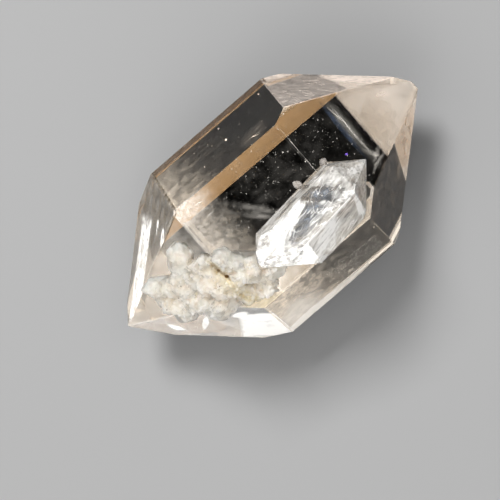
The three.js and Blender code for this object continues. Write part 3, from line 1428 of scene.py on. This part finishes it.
    def films_at_foot(self) -> list[Layer]:
        """Lists the films under the faces of the lower end.

        Returns:
            The films, each with its face.
        """
        habit = self.habit
        return [
            # partly painted light: a faint frost, with a bright band that stands in for light seen
            # through this face
            Layer(habit.foot(1), Film(
                "low_frost_and_light", white=(0.95, 0.92, 0.88), least=0.03, most=0.03, cloud=(1300.0, 0.6),
                streak=(1500.0, 0.5), stretch=3.0, turn=75.0,
                patches=(
                    Patch((-11.5, -5.6), (0.14, 1), 4.4, 0.5, 0.7, soft=0.2, ragged=0.3,
                          square=True),
                    Patch((-9.15, -2.6), (0.1, 1), 0.9, 0.16, 0.7, ragged=0.8),
                    Patch((-9.7, -1.6), (0.1, 1), 0.7, 0.1, 0.5, ragged=0.8),
                ),
            )),
            # a dark sheet that darkens the upper part of the lower end
            Layer(habit.foot(1), Film(
                "low_dark_film", white=(0.09, 0.07, 0.045), most=0.0, cloud=(1500.0, 0.5),
                streak=(1900.0, 0.5), stretch=3.0, turn=70.0,
                patches=(
                    Patch((-9.6, 0.0), (0.25, 1), 3.6, 1.8, 1.0, soft=0.5, ragged=0.8),
                ),
            ), depth=0.14),
            Layer(habit.foot(0), Film(
                "low_veil", least=0.05, most=0.05, cloud=(500.0, 0.5), streak=(1500.0, 0.2),
            )),
            # painted light: a bright white area standing in for light seen through the lower right
            # end face, and painted glints
            Layer(habit.foot(5), Film(
                "low_painted_light", white=(1.0, 0.98, 0.95), least=0.16, most=0.16, cloud=(600.0, 0.3),
                streak=(900.0, 0.15), dots=self.fine,
                patches=(
                    Patch((0.0, -10.3), (1, 0.05), 2.6, 1.25, 0.95, soft=0.12, ragged=0.2,
                          square=True),
                    Patch((-8.5, -10.7), (1, -0.4), 0.8, 0.22, 0.8, ragged=1.4),
                    Patch((-5.8, -10.2), (0.3, 1), 0.7, 0.25, 0.8, ragged=1.4),
                    Patch((-2.6, -9.2), (1, 0.3), 0.7, 0.25, 0.9, ragged=0.6),
                ),
            ), Side.BELOW_TERRACE),
        ]

    def films_on_terrace(self) -> list[Layer]:
        """Lists the dust and the ochre stain under the terrace.

        Returns:
            The films, each with its face.
        """
        return [
            Layer(MainCrystal().terrace(), Film(
                "terrace_dust", least=0.02, most=0.12, thicker=LOW_LEFT, start=-0.004, end=0.006,
                cloud=(600.0, 0.8),
            ), Side.BELOW_TERRACE, beyond_step=True),
            Layer(MainCrystal().terrace(), Film(
                "terrace_stain", white=(0.42, 0.36, 0.26), most=0.0, cloud=(900.0, 0.15),
                streak=(2400.0, 0.3), stretch=2.0,
                patches=(
                    Patch((-0.8, -8.5), (1, 0.55), 1.8, 0.8, 0.8, soft=0.5, ragged=0.9),
                ),
            ), Side.BELOW_TERRACE, depth=0.02, beyond_step=True),
        ]

    def layers(self) -> list[Layer]:
        """Lists all the films.

        Returns:
            The films, in the order in which they are made.
        """
        return [
            *self.haze_and_floor_light_below(), *self.painted_light_at_sides(), *self.films_on_top(),
            *self.films_at_sides(), *self.films_at_tip(), *self.films_at_foot(),
            *self.films_on_terrace(),
        ]

    def lay(self, layer: Layer) -> bpy.types.Object:
        """Makes one film.

        Args:
            layer: The film and its face.

        Returns:
            The finished piece, in metres.
        """
        body = MainCrystal().parts()[layer.side.value]
        walls = [f.moved(-self.hair) for f in body.faces()]
        if layer.beyond_step:
            walls.append(MainCrystal().riser().back())
        low = layer.face.moved(-(self.film + layer.depth)).back()
        top = layer.face.moved(-layer.depth)
        piece = Bench.block(layer.film.name, CENTRE)
        Bench.cleave(piece, lie_down(walls + [low, top]))
        Bench.to_metres(piece)
        piece.data.materials.append(layer.film.make())
        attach(piece, "root")
        return piece

    def build(self) -> list[bpy.types.Object]:
        """Makes all inclusions."""
        return [self.lay(layer) for layer in self.layers()]


@dataclass
class SmallVeil:
    """The white veils just under the small crystal's faces.

    Each area has its middle and its lean in the small crystal's axes, and then its half length,
    half width and amount.
    """

    level: float = 2.4
    inset: float = 0.05
    shade_inset: float = 0.12
    areas: tuple[tuple[float, ...], ...] = (
        (-1.9, 1.2, 0.2, 1.6, 0.42, 0.6),
        (-1.4, 2.45, 0.0, 2.6, 0.12, 0.8),
        (-1.8, 2.05, 0.05, 1.5, 0.12, -0.25),
        (1.2, 1.0, -1.2, 1.3, 0.6, -0.42),
        (-1.5, 0.1, 0.35, 1.9, 0.6, -0.36),
        (-0.8, -1.26, 0.0, 3.4, 0.07, 1.0),
        (1.4, -1.8, 0.2, 1.1, 0.35, -0.08),
        (-0.9, -2.2, 0.9, 1.3, 0.5, 0.5),
        (2.9, -2.0, 1.6, 1.0, 0.25, 0.6),
        (-3.7, 0.9, 0.6, 0.9, 0.6, 0.55),
        (-3.5, -1.6, 1.6, 0.9, 0.22, -0.2),
        (-3.6, -2.4, 1.2, 1.0, 0.35, 0.7),
        (-4.6, 0.3, 1.5, 1.6, 0.5, 0.35),
        (-3.9, -2.0, 3.0, 1.3, 0.6, 0.35),
        (4.6, 0.2, -0.5, 0.9, 0.3, 0.3),
        (-0.6, 1.86, 0.0, 3.0, 0.04, 0.6),
        (-1.6, -2.1, 0.1, 2.2, 0.55, 0.35),
        (1.6, -1.75, 0.15, 1.1, 0.22, -0.1),
    )

    def place(self, x: float, y: float) -> Vector:
        """Brings a point at the veils' level to the specimen's place.

        Args:
            x: Place along the small crystal.
            y: Place across it.

        Returns:
            The point, in millimetres.
        """
        seat = SmallCrystal.seat
        return LYING @ (seat.turn() @ Vector((x, y, self.level)) + seat.at) + CENTRE

    def area(self, x: float, y: float, lean: float, *sizes: float, **edges: float) -> Patch:
        """Places a patch on the small crystal.

        Args:
            x: Place of its middle along the small crystal.
            y: Place of its middle across it.
            lean: How far its length leans to the left, for each step along.
            *sizes: Its half length, half width and amount.
            **edges: How its edges are.

        Returns:
            The patch, in the specimen's place.
        """
        way = self.place(1, lean) - self.place(0, 0)
        return Patch(tuple(self.place(x, y).xy), tuple(way.xy), *sizes, **edges)

    def skin(self, film: Film, inset: float) -> bpy.types.Object:
        """Makes one film as a skin inside the crystal's faces.

        Args:
            film: Its finish.
            inset: How far it lies under the faces.

        Returns:
            The finished piece, in metres.
        """
        seat, habit = SmallCrystal.seat, SmallCrystal.habit
        turn = seat.turn()
        faces = [f.moved(-inset).turned(turn, seat.at) for f in habit.faces()]
        piece = Bench.block(film.name, CENTRE)
        Bench.cleave(piece, lie_down(faces))
        Bench.to_metres(piece)
        piece.data.materials.append(film.make())
        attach(piece, "root")
        return piece

    def veil(self) -> Film:
        """Gives the white veils with their fine threads.

        Returns:
            Their finish.
        """
        return Film(
            "small_veil", white=(0.97, 0.97, 0.96), least=0.44, most=0.44, cloud=(1000.0, 0.35),
            streak=(2600.0, 0.45), stretch=5.0, turn=52.0, dots=(Dots(5000.0, 0.28, 0.25, 0.2),),
            threads=(
                Threads(1500.0, 7.0, 48.0, 0.03, 0.6),
                Threads(1200.0, 7.0, 80.0, 0.022, 0.6),
                Threads(1300.0, 4.0, 8.0, 0.018, 0.4),
            ),
            patches=tuple(self.area(*a, soft=0.2, ragged=0.7, square=True) for a in self.areas),
        )

    def shade(self) -> Film:
        """Gives the cool shade deeper in.

        Returns:
            Its finish.
        """
        return Film(
            "small_shade", white=(0.30, 0.36, 0.45), most=0.0, cloud=(1400.0, 0.5),
            streak=(2600.0, 0.5), stretch=3.0, turn=30.0,
            patches=(
                self.area(-0.9, 0.1, 0.1, 2.4, 0.8, 0.3, soft=0.5, ragged=0.9),
                self.area(1.3, 0.9, -0.6, 1.1, 0.5, 0.25, soft=0.5, ragged=0.9),
            ),
        )

    def build(self) -> list[bpy.types.Object]:
        """Makes the white veils and the shade."""
        return [self.skin(self.veil(), self.inset), self.skin(self.shade(), self.shade_inset)]


# ---- Studio --------------------------------------------------------------------------------------


@dataclass(frozen=True)
class Softbox:
    """A square soft light, by where it stands as seen from the specimen.

    Its angles are in degrees, and its size and its distance `reach` in metres.
    """

    name: str
    azimuth: float
    elevation: float
    radiance: float
    size: float
    reach: float = 0.7
    level: bool = False
    colour: tuple[float, float, float] = (1.0, 1.0, 1.0)

    def place(self) -> Vector:
        """Finds the centre of the light.

        Returns:
            The point, in metres.
        """
        turn, rise = math.radians(self.azimuth), math.radians(self.elevation)
        flat = math.cos(rise) * self.reach
        return Vector((flat * math.cos(turn), flat * math.sin(turn), self.reach * math.sin(rise)))

    def hang(self) -> bpy.types.Object:
        """Hangs the light so that it faces the specimen, or the floor if it is level.

        Returns:
            The lamp.
        """
        data = bpy.data.lights.new(self.name, "AREA")
        data.size = self.size
        data.color = self.colour
        data.energy = self.radiance * math.pi * self.size**2
        lamp = bpy.data.objects.new(self.name, data)
        bpy.context.scene.collection.objects.link(lamp)
        lamp.location = self.place()
        ahead = Vector((0, 0, -1)) if self.level else -self.place()
        lamp.rotation_euler = ahead.to_track_quat("-Z", "Y").to_euler()
        if self.level:
            lamp.rotation_euler.z += math.radians(self.azimuth)
        lamp.visible_camera = False
        return lamp


SKY = (0.74, 0.84, 1.0)  # Cool light.
LAMP = (1.0, 0.92, 0.84)  # Warm light.


@dataclass
class Studio:
    """Floor, lights and camera.

    The camera's place is in millimetres. The inner lights each light only what lies inside or
    under clear quartz, and the softboxes light all of it.
    """

    camera_at: Vector = Vector((6.04, 6.05, 189.07))
    camera_ahead: Vector = Vector((-0.0437, -0.0543, -0.9976))
    camera_up: Vector = Vector((-0.0002, 0.9985, -0.0544))
    lens: float = 147.06
    sensor: float = 36.0
    nearest: float = 0.01
    floor_size: float = 4.0
    floor_gap: float = 2e-5
    floor_grey: float = 0.6
    floor_roughness: float = 0.9
    floor_gloss: float = 0.2
    pale_side: Vector = Vector((-0.5, -0.85, 0.1))
    pale_span: tuple[float, float] = (0.15, 0.9)
    surround: tuple[float, float] = (0.07, 0.9)
    bounces: int = 24
    glossy_bounces: int = 12
    transparent_bounces: int = 64
    inner: tuple[Softbox, ...] = (
        Softbox("inner_high", azimuth=80.0, elevation=70.0, radiance=12.0, size=0.05, reach=0.06,
                colour=SKY),
        Softbox("inner_low", azimuth=-110.0, elevation=42.0, radiance=12.0, size=0.04, reach=0.06,
                colour=SKY),
        Softbox("inner_side", azimuth=178.0, elevation=32.0, radiance=10.5, size=0.04, reach=0.06,
                colour=SKY),
    )
    small_inner: tuple[Softbox, ...] = (
        Softbox("small_high", azimuth=95.0, elevation=62.0, radiance=4.2, size=0.05, reach=0.06),
        Softbox("small_low", azimuth=-110.0, elevation=40.0, radiance=7.2, size=0.05, reach=0.06),
    )
    crust_inner: tuple[Softbox, ...] = (
        Softbox("crust_over", azimuth=-40.0, elevation=80.0, radiance=0.75, size=0.05, reach=0.06,
                colour=LAMP),
        Softbox("crust_side", azimuth=-15.0, elevation=42.0, radiance=1.1, size=0.05, reach=0.06,
                colour=LAMP),
    )
    softboxes: tuple[Softbox, ...] = (
        Softbox("key", azimuth=122.0, elevation=55.0, radiance=22.0, size=0.2),
        Softbox("fill", azimuth=-108.0, elevation=53.0, radiance=0.8, size=0.4),
        Softbox("overhead", azimuth=HEADING, elevation=71.96, radiance=0.5, size=0.4, reach=0.631,
                level=True),
    )

    def floor(self) -> None:
        """Lays the plain pale floor."""
        Bench.clear()
        bpy.ops.mesh.primitive_plane_add(size=self.floor_size, location=(0, 0, -self.floor_gap))
        floor = bpy.context.active_object
        floor.name = "floor"
        material = bpy.data.materials.new("floor")
        material.use_nodes = True
        shader = material.node_tree.nodes["Principled BSDF"]
        shader.inputs["Base Color"].default_value = (*(self.floor_grey,) * 3, 1.0)
        shader.inputs["Roughness"].default_value = self.floor_roughness
        shader.inputs["Specular IOR Level"].default_value = self.floor_gloss
        floor.data.materials.append(material)

    def world(self) -> None:
        """Sets a soft surround that is paler low down on the near left side."""
        world = bpy.data.worlds.new("surround")
        bpy.context.scene.world = world
        world.use_nodes = True
        tree = world.node_tree
        back = tree.nodes["Background"]
        way = tree.nodes.new("ShaderNodeTexCoord")
        along = tree.nodes.new("ShaderNodeVectorMath")
        along.operation = "DOT_PRODUCT"
        along.inputs[1].default_value = self.pale_side
        blend = tree.nodes.new("ShaderNodeMapRange")
        blend.interpolation_type = "SMOOTHSTEP"
        blend.inputs["From Min"].default_value = self.pale_span[0]
        blend.inputs["From Max"].default_value = self.pale_span[1]
        blend.inputs["To Min"].default_value = self.surround[0]
        blend.inputs["To Max"].default_value = self.surround[1]
        tree.links.new(way.outputs["Generated"], along.inputs[0])
        tree.links.new(along.outputs["Value"], blend.inputs["Value"])
        tree.links.new(blend.outputs["Result"], back.inputs["Strength"])
        back.inputs["Color"].default_value = (1.0, 1.0, 1.0, 1.0)

    def camera(self) -> None:
        """Stands the camera over the specimen."""
        data = bpy.data.cameras.new("camera")
        data.lens = self.lens
        data.sensor_width = self.sensor
        data.clip_start = self.nearest
        camera = bpy.data.objects.new("camera", data)
        bpy.context.scene.collection.objects.link(camera)
        ahead = self.camera_ahead.normalized()
        right = ahead.cross(self.camera_up).normalized()
        up = right.cross(ahead)
        turn = Matrix((right, up, -ahead)).transposed()
        camera.matrix_world = Matrix.LocRotScale(self.camera_at * MM, turn, None)
        bpy.context.scene.camera = camera

    @staticmethod
    def reach_inside(softboxes: tuple[Softbox, ...], inside: list[bpy.types.Object]) -> None:
        """Lights what lies inside a clear crystal, past its faces.

        Args:
            softboxes: The lights.
            inside: The pieces to light, which alone cast shadows in this light.
        """
        group = bpy.data.collections.new("inside")
        for piece in inside:
            group.objects.link(piece)
        for softbox in softboxes:
            lamp = softbox.hang()
            lamp.light_linking.receiver_collection = group
            lamp.light_linking.blocker_collection = group

    def build(self, inside: list[bpy.types.Object], inside_small: list[bpy.types.Object],
              crust: bpy.types.Object) -> None:
        """Sets up the whole studio.

        Args:
            inside: The films inside the main crystal.
            inside_small: The veils inside the small crystal.
            crust: The crust, which light reaches through the clear crystals.
        """
        self.reach_inside(self.inner, inside)
        self.reach_inside(self.small_inner, inside_small)
        self.reach_inside(self.crust_inner, [crust])
        self.floor()
        self.world()
        for softbox in self.softboxes:
            softbox.hang()
        self.camera()
        scene = bpy.context.scene
        scene.cycles.caustics_refractive = False
        scene.cycles.caustics_reflective = False
        scene.cycles.max_bounces = self.bounces
        scene.cycles.transmission_bounces = self.bounces
        scene.cycles.glossy_bounces = self.glossy_bounces
        scene.cycles.transparent_max_bounces = self.transparent_bounces
        scene.view_settings.view_transform = "Standard"


def main() -> None:
    """Builds the specimen and the studio in order."""
    logging.basicConfig(level=logging.INFO, format="%(name)s: %(message)s")
    crust = Crust().build()
    made = [MainCrystal().build(), SmallCrystal().build(), crust]
    inside = Inclusions().build()
    inside_small = SmallVeil().build()
    for piece in made + inside + inside_small:
        log.info("%s has %d faces", piece.name, len(piece.data.polygons))
    Studio().build(inside, inside_small, crust)


if __name__ == "__main__":
    main()
